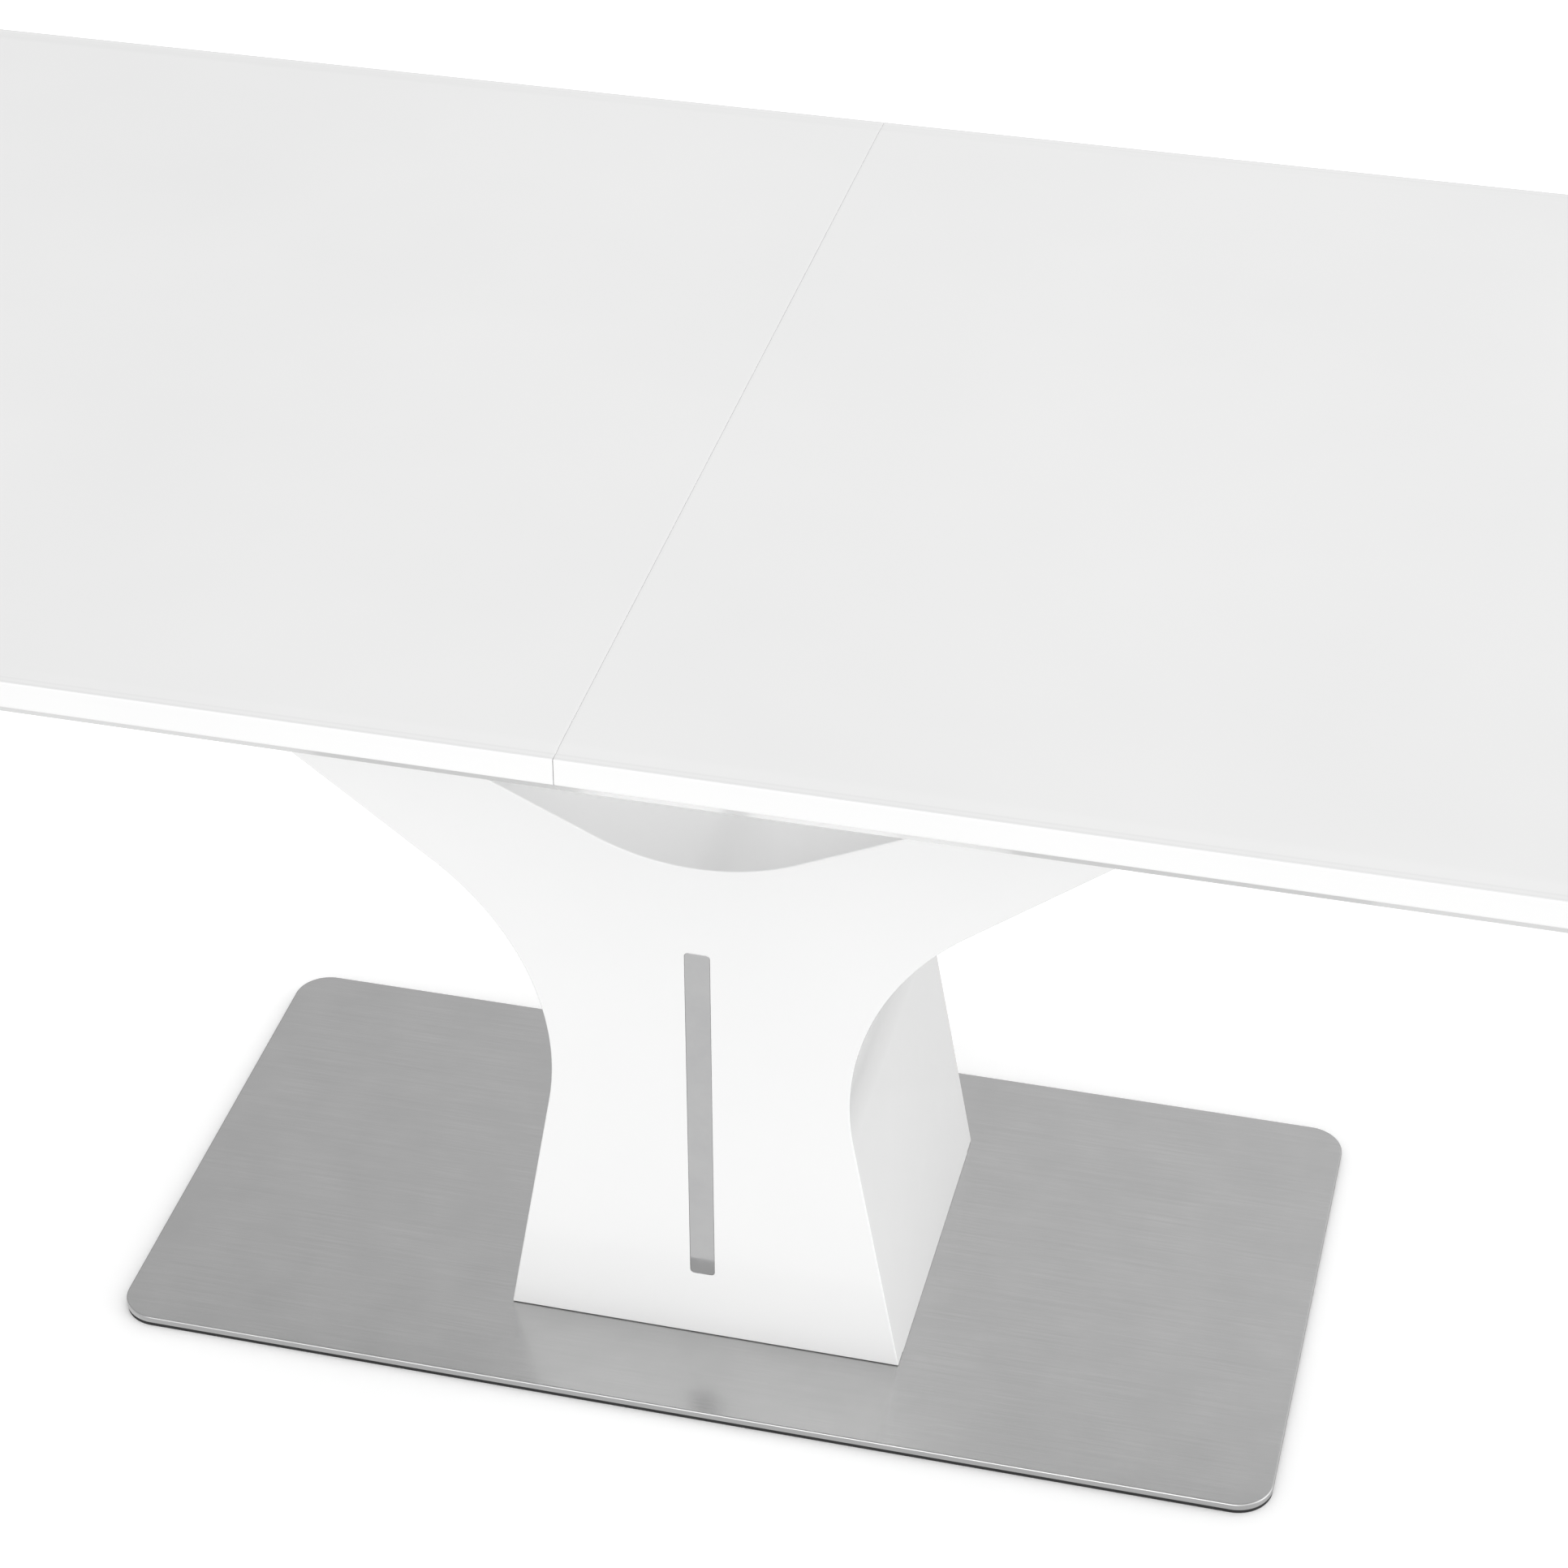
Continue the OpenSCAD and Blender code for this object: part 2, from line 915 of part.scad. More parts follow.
// Hollow runner beside the rail whose far side is at y0
module runner(y0, lug) {
    color(alloy)
        difference() {
            union() {
                block([runner_x0, y0, runner_z], [runner_x1, y0 + runner_w, runner_top]);
                block([runner_x0, y0, runner_top - lap], [boss_x1, y0 + runner_w, under_z]);
                if (lug)
                    block(
                        [runner_x1 - lug_in - lug_l, y0, rail_z - stop_h + lug_rise],
                        [runner_x1 - lug_in, y0 + runner_w, runner_z + lap]
                    );
            }
            block(
                [runner_x0 - eps, y0 + runner_wall, runner_z + runner_wall],
                [runner_x1 + eps, y0 + runner_w - runner_wall, runner_top - runner_wall]
            );
            for (x = screw_xs) {
                rod(x, y0 + runner_w / 2, runner_top - 2 * runner_wall, under_z + eps, screw_r + hole_gap);
                rod(x, y0 + runner_w / 2, runner_z - eps, runner_z + runner_wall + eps, driver_r);
            }
        }
}

module left_outer_runner() {
    runner(outer_y0, true);
}

module left_inner_runner() {
    runner(inner_y0, false);
}

// Nylon strips on the runners that slide in the rails' grooves
module left_glides() {
    color(nylon)
        for (y0 = [outer_y0, inner_y0])
            block(
                [glide_x0, y0 - groove_d, groove_z - groove_h / 2 + run_fit],
                [runner_x1, y0, groove_z + groove_h / 2 - run_fit]
            );
}

module left_runner_screws() {
    color(steel)
        for (x = screw_xs, y = screw_ys)
            bolt(x, y, runner_top - runner_wall, under_z + screw_in, screw_r, screw_head_r, screw_head_h);
}

module left_dowels() {
    color(mdf)
        for (y = dowel_ys)
            translate([-dowel_in, y, table_h - dowel_drop])
                rotate([0, 90, 0])
                    cylinder(h = dowel_in + dowel_out, r = dowel_r);
}

module right_outer_runner() {
    twin()
        left_outer_runner();
}

module right_inner_runner() {
    twin()
        left_inner_runner();
}

module right_glides() {
    twin()
        left_glides();
}

module right_runner_screws() {
    twin()
        left_runner_screws();
}

module right_dowels() {
    twin()
        left_dowels();
}

// ---- Folding leaf, stored upside down half under upright half ----

module leaf_half() {
    bevel = top_t - edge_h;
    rotate([90, 0, 90])
        linear_extrude(leaf_l, center = true)
            polygon([
                [0, 0],
                [leaf_w, 0],
                [leaf_w, -edge_h],
                [leaf_w - bevel, -top_t],
                [0, -top_t]
            ]);
}

module hinge_mortise(z0, z1) {
    for (x = hinge_xs)
        block(
            [x - hinge_half - hinge_gap, fold_y - eps, z0],
            [x + hinge_half + hinge_gap, fold_y + hinge_w + hinge_gap, z1]
        );
}

// Dowel holes in one end of a leaf half: glued pins have no gap round them, sockets do
module dowel_holes(side, z, r) {
    for (y = dowel_ys)
        translate([side * leaf_l / 2, fold_y + y, z])
            rotate([0, 90, 0])
                cylinder(h = 2 * dowel_in, r = r, center = true);
}

module leaf_upper_half() {
    color(lacquer)
        difference() {
            translate([0, fold_y, leaf_z + 2 * top_t + leaf_gap])
                leaf_half();
            hinge_mortise(fold_z - leaf_gap, fold_z + leaf_gap / 2 + hinge_t);
            dowel_holes(-1, upper_dowel_z, dowel_r + dowel_fit);
            dowel_holes(1, upper_dowel_z, dowel_r);
        }
}

module leaf_lower_half() {
    color(lacquer)
        difference() {
            translate([0, fold_y, leaf_z])
                mirror([0, 0, 1])
                    leaf_half();
            hinge_mortise(fold_z - leaf_gap / 2 - hinge_t, fold_z + leaf_gap);
            dowel_holes(-1, lower_dowel_z, dowel_r);
            dowel_holes(1, lower_dowel_z, dowel_r + dowel_fit);
        }
}

// One leaf of a butt hinge: side -1 lies in the lower half, side 1 in the upper half
module hinge_plate(x, side) {
    knuckles = side < 0 ? [[-knuckle_half, knuckle_half]]
        : [[-hinge_half, -knuckle_half - knuckle_gap], [knuckle_half + knuckle_gap, hinge_half]];
    plate_z = side < 0 ? fold_z - leaf_gap / 2 - hinge_t : fold_z + leaf_gap / 2;
    link_z = side < 0 ? plate_z : fold_z;
    difference() {
        union() {
            for (k = knuckles) {
                block(
                    [x + k[0], fold_y - hinge_r, link_z],
                    [x + k[1], fold_y + hinge_r, link_z + hinge_t + leaf_gap / 2]
                );
                translate([x + k[0], fold_y - hinge_r, fold_z])
                    rotate([0, 90, 0])
                        cylinder(h = k[1] - k[0], r = hinge_r);
            }
            block(
                [x - hinge_half, fold_y + hinge_gap, plate_z],
                [x + hinge_half, fold_y + hinge_w, plate_z + hinge_t]
            );
        }
        translate([x - far / 2, fold_y - hinge_r, fold_z])
            rotate([0, 90, 0])
                cylinder(h = far, r = hinge_pin_r + axle_fit);
    }
}

module leaf_hinge_plates() {
    color("goldenrod")
        for (x = hinge_xs, side = [-1, 1])
            hinge_plate(x, side);
}

module leaf_hinge_pins() {
    color(steel)
        for (x = hinge_xs)
            translate([x - hinge_half, fold_y - hinge_r, fold_z])
                rotate([0, 90, 0])
                    cylinder(h = 2 * hinge_half, r = hinge_pin_r);
}

module leaf_dowels() {
    color(mdf)
        for (y = dowel_ys) {
            translate([-leaf_l / 2 - dowel_out, fold_y + y, lower_dowel_z])
                rotate([0, 90, 0])
                    cylinder(h = dowel_in + dowel_out, r = dowel_r);
            translate([leaf_l / 2 - dowel_in, fold_y + y, upper_dowel_z])
                rotate([0, 90, 0])
                    cylinder(h = dowel_in + dowel_out, r = dowel_r);
        }
}

// ---- Latch, drawn swung clear of its keeper ----

module latch_hook() {
    color(dark_steel)
        difference() {
            translate([-latch_x, latch_y, latch_z])
                union() {
                    cylinder(h = latch_t, r = latch_half);
                    block([-latch_half, -latch_arm - latch_over, 0], [latch_half, 0, latch_t]);
                    translate([0, -latch_arm - latch_over, 0])
                        cylinder(h = latch_t, r = latch_half);
                }
            rod(-latch_x, latch_y, latch_z - eps, latch_z + latch_t + eps, m8_r + axle_fit);
            block(
                [-latch_x - stud_r - 1, latch_y - latch_arm - notch_w / 2, latch_z - eps],
                [-latch_x + far, latch_y - latch_arm + notch_w / 2, latch_z + latch_t + eps]
            );
        }
}

module latch_pivot() {
    color(steel)
        union() {
            bolt(
                -latch_x, latch_y, latch_z - latch_play, under_z + pivot_in,
                m8_r, pivot_head_r, pivot_head_h
            );
            rod(-latch_x, latch_y, latch_z + latch_t + latch_play, under_z, pivot_collar_r);
        }
}

module latch_keeper() {
    color(steel)
        union() {
            rod(latch_x, latch_y, latch_z - stud_end, under_z, stud_r);
            block(
                [latch_x - keeper_half, latch_y - keeper_half, under_z - keeper_t],
                [latch_x + keeper_tail, latch_y + keeper_half, under_z]
            );
        }
}

base_underlay();
base_core();
base_cover();
base_bolts();
pedestal_bottom_block();
pedestal_waist_rib();
front_panel();
back_panel();
left_side_skin();
right_side_skin();
scoop_skin();
front_inlay();
back_inlay();
left_arm_block();
right_arm_block();
left_arm_plate();
right_arm_plate();
arm_plate_bolts();
left_cross_tube();
right_cross_tube();
cross_tube_bolts();
front_fixed_rail();
back_fixed_rail();
rail_bolts();
travel_stops();
leaf_rest_pads();
left_tray_strap();
right_tray_strap();
tray_screws();
tray_felts();
pinion_bracket();
pinion_axle();
pinion_washers();
front_rack_guide();
back_rack_guide();
equaliser_pinion();
left_tabletop();
left_outer_runner();
left_inner_runner();
left_glides();
left_runner_screws();
left_dowels();
left_rack();
left_rack_bracket();
right_tabletop();
right_outer_runner();
right_inner_runner();
right_glides();
right_runner_screws();
right_dowels();
right_rack();
right_rack_bracket();
leaf_lower_half();
leaf_upper_half();
leaf_hinge_plates();
leaf_hinge_pins();
leaf_dowels();
latch_hook();
latch_pivot();
latch_keeper();
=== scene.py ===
import json
import math

import bmesh
import bpy
from mathutils import Matrix, Vector


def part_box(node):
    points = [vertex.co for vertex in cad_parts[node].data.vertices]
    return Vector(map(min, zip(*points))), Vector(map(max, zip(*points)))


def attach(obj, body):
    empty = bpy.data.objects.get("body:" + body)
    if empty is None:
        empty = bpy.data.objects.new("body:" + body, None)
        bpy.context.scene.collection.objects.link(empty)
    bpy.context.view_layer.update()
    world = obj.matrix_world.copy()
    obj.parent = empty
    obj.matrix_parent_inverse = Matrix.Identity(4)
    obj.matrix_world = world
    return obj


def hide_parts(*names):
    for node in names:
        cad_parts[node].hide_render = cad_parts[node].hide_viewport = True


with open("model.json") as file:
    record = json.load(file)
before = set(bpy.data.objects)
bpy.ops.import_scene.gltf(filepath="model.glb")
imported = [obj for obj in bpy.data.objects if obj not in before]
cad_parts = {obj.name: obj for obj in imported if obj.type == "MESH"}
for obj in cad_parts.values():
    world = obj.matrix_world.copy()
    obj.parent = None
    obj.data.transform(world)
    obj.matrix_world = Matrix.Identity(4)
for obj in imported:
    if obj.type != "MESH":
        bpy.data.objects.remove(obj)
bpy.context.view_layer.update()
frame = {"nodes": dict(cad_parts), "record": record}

nodes = frame["nodes"]
slots = {row["node"]: row["material_slot"] for row in frame["record"]["subparts"]}
scene = bpy.context.scene
MM = 0.001
HALF_TURN = Matrix.Rotation(math.pi, 4, "Z")


# ---------------------------------------------------------------- node helpers

def math_node(tree, kind, a, b=0.0):
    """Output of a Math node. Each of a and b is a number or another node's output."""
    node = tree.nodes.new("ShaderNodeMath")
    node.operation = kind
    for socket, value in zip(node.inputs, (a, b)):
        if isinstance(value, (int, float)):
            socket.default_value = value
        else:
            tree.links.new(value, socket)
    return node.outputs["Value"]


class Tree:
    """A short way to write a material's nodes."""

    def __init__(self, name):
        self.material = bpy.data.materials.new(name)
        self.material.use_nodes = True
        self.tree = self.material.node_tree
        self.tree.nodes.clear()
        self.shader = self.add("ShaderNodeBsdfPrincipled")
        out = self.add("ShaderNodeOutputMaterial")
        self.link(self.shader.outputs["BSDF"], out.inputs["Surface"])
        self.place = self.add("ShaderNodeTexCoord").outputs["Object"]

    def add(self, kind, **settings):
        node = self.tree.nodes.new(kind)
        for key, value in settings.items():
            setattr(node, key, value)
        return node

    def link(self, source, target):
        self.tree.links.new(source, target)

    def stretch(self, factors):
        """Texture space scaled by factors along X, Y and Z, in repeats per metre."""
        node = self.add("ShaderNodeMapping", vector_type="POINT")
        node.inputs["Scale"].default_value = factors
        self.link(self.place, node.inputs["Vector"])
        return node.outputs["Vector"]

    def noise(self, scale, detail=4.0, rough=0.55, vector=None):
        node = self.add("ShaderNodeTexNoise")
        node.inputs["Scale"].default_value = scale
        node.inputs["Detail"].default_value = detail
        node.inputs["Roughness"].default_value = rough
        self.link(vector or self.place, node.inputs["Vector"])
        return node.outputs["Fac"]

    def span(self, value, low, high, start=0.3, stop=0.7):
        """Value from start to stop remapped to low to high."""
        node = self.add("ShaderNodeMapRange", clamp=True)
        node.inputs["From Min"].default_value = start
        node.inputs["From Max"].default_value = stop
        node.inputs["To Min"].default_value = low
        node.inputs["To Max"].default_value = high
        self.link(value, node.inputs["Value"])
        return node.outputs["Result"]

    def maths(self, kind, a, b=0.0):
        return math_node(self.tree, kind, a, b)

    def axes(self):
        """X, Y and Z of the point in metres."""
        node = self.add("ShaderNodeSeparateXYZ")
        self.link(self.place, node.inputs["Vector"])
        return node.outputs["X"], node.outputs["Y"], node.outputs["Z"]

    def blend(self, factor, first, second):
        """Colour between first and second."""
        node = self.add("ShaderNodeMix", data_type="RGBA")
        self.link(factor, node.inputs["Factor"])
        colours = [s for s in node.inputs if s.type == "RGBA"]
        for socket, value in zip(colours, (first, second)):
            if isinstance(value, tuple):
                socket.default_value = (*value, 1.0)
            else:
                self.link(value, socket)
        return next(s for s in node.outputs if s.type == "RGBA")

    def bump(self, height, strength, distance):
        node = self.add("ShaderNodeBump")
        node.inputs["Strength"].default_value = strength
        node.inputs["Distance"].default_value = distance
        self.link(height, node.inputs["Height"])
        self.link(node.outputs["Normal"], self.shader.inputs["Normal"])

    def set(self, **values):
        for key, value in values.items():
            socket = self.shader.inputs[key.replace("_", " ")]
            if isinstance(value, (int, float, tuple)):
                socket.default_value = (*value, 1.0) if isinstance(value, tuple) else value
            else:
                self.link(value, socket)


# ---------------------------------------------------------------- materials

HALF_LENGTH, HALF_WIDTH, TABLE_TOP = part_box("right_tabletop")[1]
PLATE_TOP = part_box("base_cover")[1].z
UPPER_FACE = 0.9 * MM       # how far below the table's top still counts as its upper face
EDGE_SHADE_SPAN = (1.2 * MM, 3.0 * MM)     # the painted shade is full up to the first distance from the arris and gone from the second
# A second, fainter painted shade line: how far in from the arris it lies, where it is full and where it
# is gone, and its strength
SECOND_LINE = 6.0 * MM
SECOND_SHADE_SPAN = (0.4 * MM, 1.4 * MM)
SECOND_STRENGTH = 0.45
LACQUER_WARM = (0.845, 0.846, 0.845)
LACQUER_CLEAN = (0.872, 0.872, 0.870)
# painted shade: the darker tone of the lines beside the arris
EDGE_SHADE_TONE = (0.795, 0.796, 0.796)
STEEL_DARK = (0.500, 0.500, 0.500)
STEEL_LIGHT = (0.566, 0.566, 0.566)
STEEL_CLOUD = (0.484, 0.486, 0.486)


def painted_edge_shade(m):
    """Painted shade: darker lines beside the outer arris of the tabletop's upper face, standing in for
    the shade of its rounded edge.
    """
    x, y, z = m.axes()
    sides = m.maths("SUBTRACT", HALF_WIDTH, m.maths("ABSOLUTE", y))
    ends = m.maths("SUBTRACT", HALF_LENGTH, m.maths("ABSOLUTE", x))
    rim = m.maths("MINIMUM", sides, ends)
    upper = m.maths("GREATER_THAN", z, TABLE_TOP - UPPER_FACE)
    near = m.span(rim, 1.0, 0.0, *EDGE_SHADE_SPAN)
    off_second = m.maths("ABSOLUTE", m.maths("SUBTRACT", rim, SECOND_LINE))
    second = m.span(off_second, SECOND_STRENGTH, 0.0, *SECOND_SHADE_SPAN)
    return m.maths("MULTIPLY", m.maths("MAXIMUM", near, second), upper)


def white_lacquer():
    m = Tree("white_lacquer")
    cloud = m.noise(3.0, 3.0)
    peel = m.noise(420.0, 2.0, 0.5)
    smear = m.noise(1.0, 5.0, 0.6, m.stretch((9.0, 30.0, 30.0)))
    whole = m.blend(m.span(cloud, 0.0, 1.0), LACQUER_WARM, LACQUER_CLEAN)
    m.set(
        # painted shade: greyer lines beside the tabletop's outer arris
        Base_Color=m.blend(painted_edge_shade(m), whole, EDGE_SHADE_TONE),
        Roughness=m.span(smear, 0.18, 0.22),
        Coat_Weight=0.5,
        Coat_Roughness=0.06,
    )
    m.bump(peel, 0.06, 0.00012)
    return m.material


def brushed_stainless():
    m = Tree("brushed_stainless")
    hair = m.noise(1.0, 5.0, 0.6, m.stretch((14.0, 1700.0, 1700.0)))
    grain = m.noise(1.0, 4.0, 0.6, m.stretch((3.0, 260.0, 260.0)))
    cloud = m.noise(22.0, 4.0, 0.55)
    lines = m.maths("ADD", m.maths("MULTIPLY", hair, 0.75), m.maths("MULTIPLY", grain, 0.25))
    worn = m.maths("ADD", m.maths("MULTIPLY", lines, 0.5), m.maths("MULTIPLY", cloud, 0.5))
    toned = m.blend(m.span(lines, 0.0, 1.0, 0.35, 0.65), STEEL_DARK, STEEL_LIGHT)
    rolled = m.span(m.axes()[2], 0.10, 0.0, PLATE_TOP - MM, PLATE_TOP)
    m.set(
        Base_Color=m.blend(m.span(cloud, 0.0, 0.55), toned, STEEL_CLOUD),
        Metallic=1.0,
        Roughness=m.maths("ADD", m.span(worn, 0.19, 0.27), rolled),
        Anisotropic=0.45,
    )
    tangent = m.add("ShaderNodeTangent", direction_type="UV_MAP")
    m.link(tangent.outputs["Tangent"], m.shader.inputs["Tangent"])
    m.bump(lines, 0.03, 0.00005)
    return m.material


def polished_stainless():
    m = Tree("polished_stainless")
    smudge = m.noise(40.0, 5.0, 0.6)
    hair = m.noise(1.0, 3.0, 0.5, m.stretch((900.0, 900.0, 20.0)))
    m.set(
        Base_Color=m.blend(m.span(smudge, 0.0, 1.0), (0.63, 0.63, 0.635), (0.67, 0.67, 0.67)),
        Metallic=1.0,
        Roughness=m.span(smudge, 0.03, 0.10),
    )
    m.bump(hair, 0.03, 0.00004)
    return m.material


def grainy(name, dark, light, scale, rough, bump, metallic=0.0, stretch=(1.0, 1.0, 1.0)):
    """A surface of fine grain: two tones of one colour, uneven roughness and a little relief."""
    m = Tree(name)
    grain = m.noise(scale, 5.0, 0.6, m.stretch(stretch))
    patch = m.noise(18.0, 3.0)
    tone = m.maths("MULTIPLY", m.maths("ADD", grain, patch), 0.5)
    m.set(
        Base_Color=m.blend(m.span(tone, 0.0, 1.0), dark, light),
        Metallic=metallic,
        Roughness=m.span(grain, rough - 0.06, rough + 0.06),
    )
    m.bump(grain, *bump)
    return m.material


def beech():
    m = Tree("beech")
    rings = m.noise(1.0, 5.0, 0.6, m.stretch((25.0, 420.0, 420.0)))
    flecks = m.noise(1.0, 2.0, 0.5, m.stretch((220.0, 1900.0, 1900.0)))
    wood = m.blend(m.span(rings, 0.0, 1.0), (0.50, 0.31, 0.17), (0.66, 0.45, 0.27))
    m.set(
        Base_Color=m.blend(m.span(flecks, 0.0, 0.5, 0.5, 0.75), wood, (0.32, 0.18, 0.09)),
        Roughness=m.span(rings, 0.5, 0.66),
    )
    m.bump(flecks, 0.25, 0.0002)
    return m.material


# Slot: dark tone, light tone, grain scale, roughness, bump strength and depth, then metallic and stretch
GRAINY = {
    "raw_mdf": ((0.40, 0.27, 0.16), (0.56, 0.40, 0.26), 900.0, 0.85, (0.3, 0.0003)),
    "black_rubber": ((0.010, 0.010, 0.010), (0.020, 0.020, 0.021), 700.0, 0.86, (0.3, 0.0002)),
    "raw_steel": ((0.16, 0.16, 0.17), (0.30, 0.29, 0.28), 60.0, 0.55, (0.2, 0.0002), 1.0),
    "zinc_steel": ((0.50, 0.52, 0.55), (0.68, 0.69, 0.70), 260.0, 0.30, (0.08, 0.0001), 1.0),
    "black_steel": ((0.018, 0.018, 0.020), (0.032, 0.032, 0.034), 1400.0, 0.46, (0.35, 0.00015)),
    "aluminium": (
        (0.55, 0.56, 0.57), (0.70, 0.70, 0.71), 1.0, 0.32, (0.1, 0.0001), 1.0, (4.0, 1100.0, 1100.0)
    ),
    "black_nylon": ((0.016, 0.016, 0.017), (0.030, 0.030, 0.031), 500.0, 0.40, (0.1, 0.0001)),
    "felt": ((0.055, 0.055, 0.060), (0.16, 0.16, 0.17), 1600.0, 0.95, (0.9, 0.0006)),
    "acetal": ((0.72, 0.71, 0.65), (0.80, 0.79, 0.74), 120.0, 0.35, (0.06, 0.0001)),
    "hinge_brass": (
        (0.55, 0.38, 0.15), (0.72, 0.53, 0.24), 1.0, 0.30, (0.08, 0.0001), 1.0, (30.0, 800.0, 800.0)
    ),
}

materials = {
    "white_lacquer": white_lacquer(),
    "brushed_stainless": brushed_stainless(),
    "polished_stainless": polished_stainless(),
    "beech": beech(),
}
materials.update({slot: grainy(slot, *look) for slot, look in GRAINY.items()})


# ---------------------------------------------------------------- mesh helpers

def sharpen(bm, angle=32.0):
    """Smooth shading with sharp edges kept where the surface turns by more than angle degrees."""
    limit = math.radians(angle)
    for face in bm.faces:
        face.smooth = True
    for edge in bm.edges:
        edge.smooth = len(edge.link_faces) == 2 and edge.calc_face_angle(0.0) < limit


def finish_piece(name, bm, slot, replaced, body, turned=False):
    """Make an object of bm, give it its material, and let it ride in place of the CAD nodes."""
    if turned:
        bmesh.ops.transform(bm, matrix=HALF_TURN, verts=bm.verts)
    bmesh.ops.recalc_face_normals(bm, faces=bm.faces)
    sharpen(bm)
    mesh = bpy.data.meshes.new(name)
    bm.to_mesh(mesh)
    bm.free()
    piece = bpy.data.objects.new(name, mesh)
    scene.collection.objects.link(piece)
    mesh.materials.append(materials[slot])
    shading = piece.modifiers.new("shading", "WEIGHTED_NORMAL")
    shading.keep_sharp = True
    shading.weight = 80
    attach(piece, body)
    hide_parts(*replaced)
    return piece


def prism(points, low, high, spread):
    """Solid between two copies of a flat outline. spread(point, depth) gives a vertex."""
    bm = bmesh.new()
    near = [bm.verts.new(spread(p, low)) for p in points]
    far = [bm.verts.new(spread(p, high)) for p in points]
    bm.faces.new(near)
    bm.faces.new(list(reversed(far)))
    count = len(points)
    for i in range(count):
        j = (i + 1) % count
        bm.faces.new((near[j], near[i], far[i], far[j]))
    return bm


def upright(point, depth):
    """A point of an outline drawn in X and Z, at a depth in Y."""
    return Vector((point[0], depth, point[1]))


def level(point, height):
    """A point of an outline drawn in X and Y, at a height in Z."""
    return Vector((point[0], point[1], height))


def arc(centre, radius, start, stop, steps):
    """Points on a circle, from start to stop degrees, counted anticlockwise from +X."""
    turns = [math.radians(start + (stop - start) * i / steps) for i in range(steps + 1)]
    return [(centre[0] + radius * math.cos(a), centre[1] + radius * math.sin(a)) for a in turns]


def round_rectangle(length, depth, radius, steps=16):
    """Outline of a rectangle with round corners, anticlockwise from the right front corner."""
    points = []
    for sx, sy, start in ((1, -1, -90), (1, 1, 0), (-1, 1, 90), (-1, -1, 180)):
        centre = (sx * (length / 2 - radius), sy * (depth / 2 - radius))
        points += arc(centre, radius, start, start + 90, steps)
    return points


def cut(piece_bm, tool_bm):
    """Take the solid tool_bm out of piece_bm."""
    objects = []
    for bm in (piece_bm, tool_bm):
        bmesh.ops.recalc_face_normals(bm, faces=bm.faces)
        mesh = bpy.data.meshes.new("cutting")
        bm.to_mesh(mesh)
        bm.free()
        thing = bpy.data.objects.new("cutting", mesh)
        scene.collection.objects.link(thing)
        objects.append(thing)
    piece, tool = objects
    boolean = piece.modifiers.new("cut", "BOOLEAN")
    boolean.operation = "DIFFERENCE"
    boolean.solver = "EXACT"
    boolean.object = tool
    result = bmesh.new()
    result.from_object(piece, bpy.context.evaluated_depsgraph_get())
    for thing in objects:
        mesh = thing.data
        bpy.data.objects.remove(thing)
        bpy.data.meshes.remove(mesh)
    return result


# ---------------------------------------------------------------- pedestal outline

BASE_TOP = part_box("front_panel")[0].z
ARM_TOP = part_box("front_panel")[1].z
PANEL_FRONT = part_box("front_panel")[0].y
PANEL_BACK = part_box("front_panel")[1].y
SKIN = 6 * MM
SIDE_LEAN, ARM_SLOPE, SCOOP_SLOPE, HORN_SLOPE = 10.0, 37.6, 25.0, 55.0
SIDE_R, SCOOP_R, HORN_R = 212 * MM, 177 * MM, 180 * MM
SIDE_C = (112.8 * MM + SIDE_R, 255 * MM)
SCOOP_C = (0.0, 449.6 * MM + SCOOP_R)
SCOOP_RUN = 170 * MM
FOOT_Z = BASE_TOP + 0.45 * MM
ARM_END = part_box("front_panel")[1].x
ARC_STEPS = 48


def slope(angle):
    return math.tan(math.radians(angle))


def on_circle(centre, radius, angle):
    """Point of a circle whose tangent there rises at angle degrees, on the circle's lower right."""
    a = math.radians(angle)
    return (centre[0] + radius * math.sin(a), centre[1] - radius * math.cos(a))


HORN_START_Z = on_circle(SCOOP_C, SCOOP_R, SCOOP_SLOPE)[1] + slope(SCOOP_SLOPE) * (
    SCOOP_RUN - on_circle(SCOOP_C, SCOOP_R, SCOOP_SLOPE)[0]
)
HORN_C = (
    SCOOP_RUN - HORN_R * math.sin(math.radians(SCOOP_SLOPE)),
    HORN_START_Z + HORN_R * math.cos(math.radians(SCOOP_SLOPE)),
)


def outer_side(inset):
    """Right side of the pedestal from the base to the arm's end."""
    radius = SIDE_R + inset
    curve = arc(SIDE_C, radius, 180 + SIDE_LEAN, 90 + ARM_SLOPE, ARC_STEPS)
    foot = (curve[0][0] + (curve[0][1] - FOOT_Z) * slope(SIDE_LEAN), FOOT_Z)
    end_x = ARM_END - inset
    end = (end_x, curve[-1][1] + (end_x - curve[-1][0]) * slope(ARM_SLOPE))
    return [foot, *curve, end, (end_x, ARM_TOP)]


def scoop_side(inset):
    """Right half of the scoop from the arm's top down to the middle."""
    horn = arc(HORN_C, HORN_R + inset, -90 + HORN_SLOPE, -90 + SCOOP_SLOPE, ARC_STEPS)
    top = (horn[0][0] + (ARM_TOP - horn[0][1]) / slope(HORN_SLOPE), ARM_TOP)
    bowl = arc(SCOOP_C, SCOOP_R + inset, -90 + SCOOP_SLOPE, -90, ARC_STEPS // 2)
    return [top, *horn, *bowl]


def mirrored(points):
    return [(-x, z) for x, z in reversed(points)]


# ---------------------------------------------------------------- pedestal pieces

INLAY_LOW, INLAY_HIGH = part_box("front_inlay")
INLAY_ARRIS = 0.25 * MM
INLAY_CORNER = 3 * MM
INLAY_PLAY = 0.2 * MM       # gap round the strip in its groove
PANEL_ARRIS = 1.3 * MM
FOOT_R = 1.0 * MM
CLEAR = 5 * MM              # how far a cutting solid stands out of the piece
SAME = 1e-6                 # two places nearer than this are one


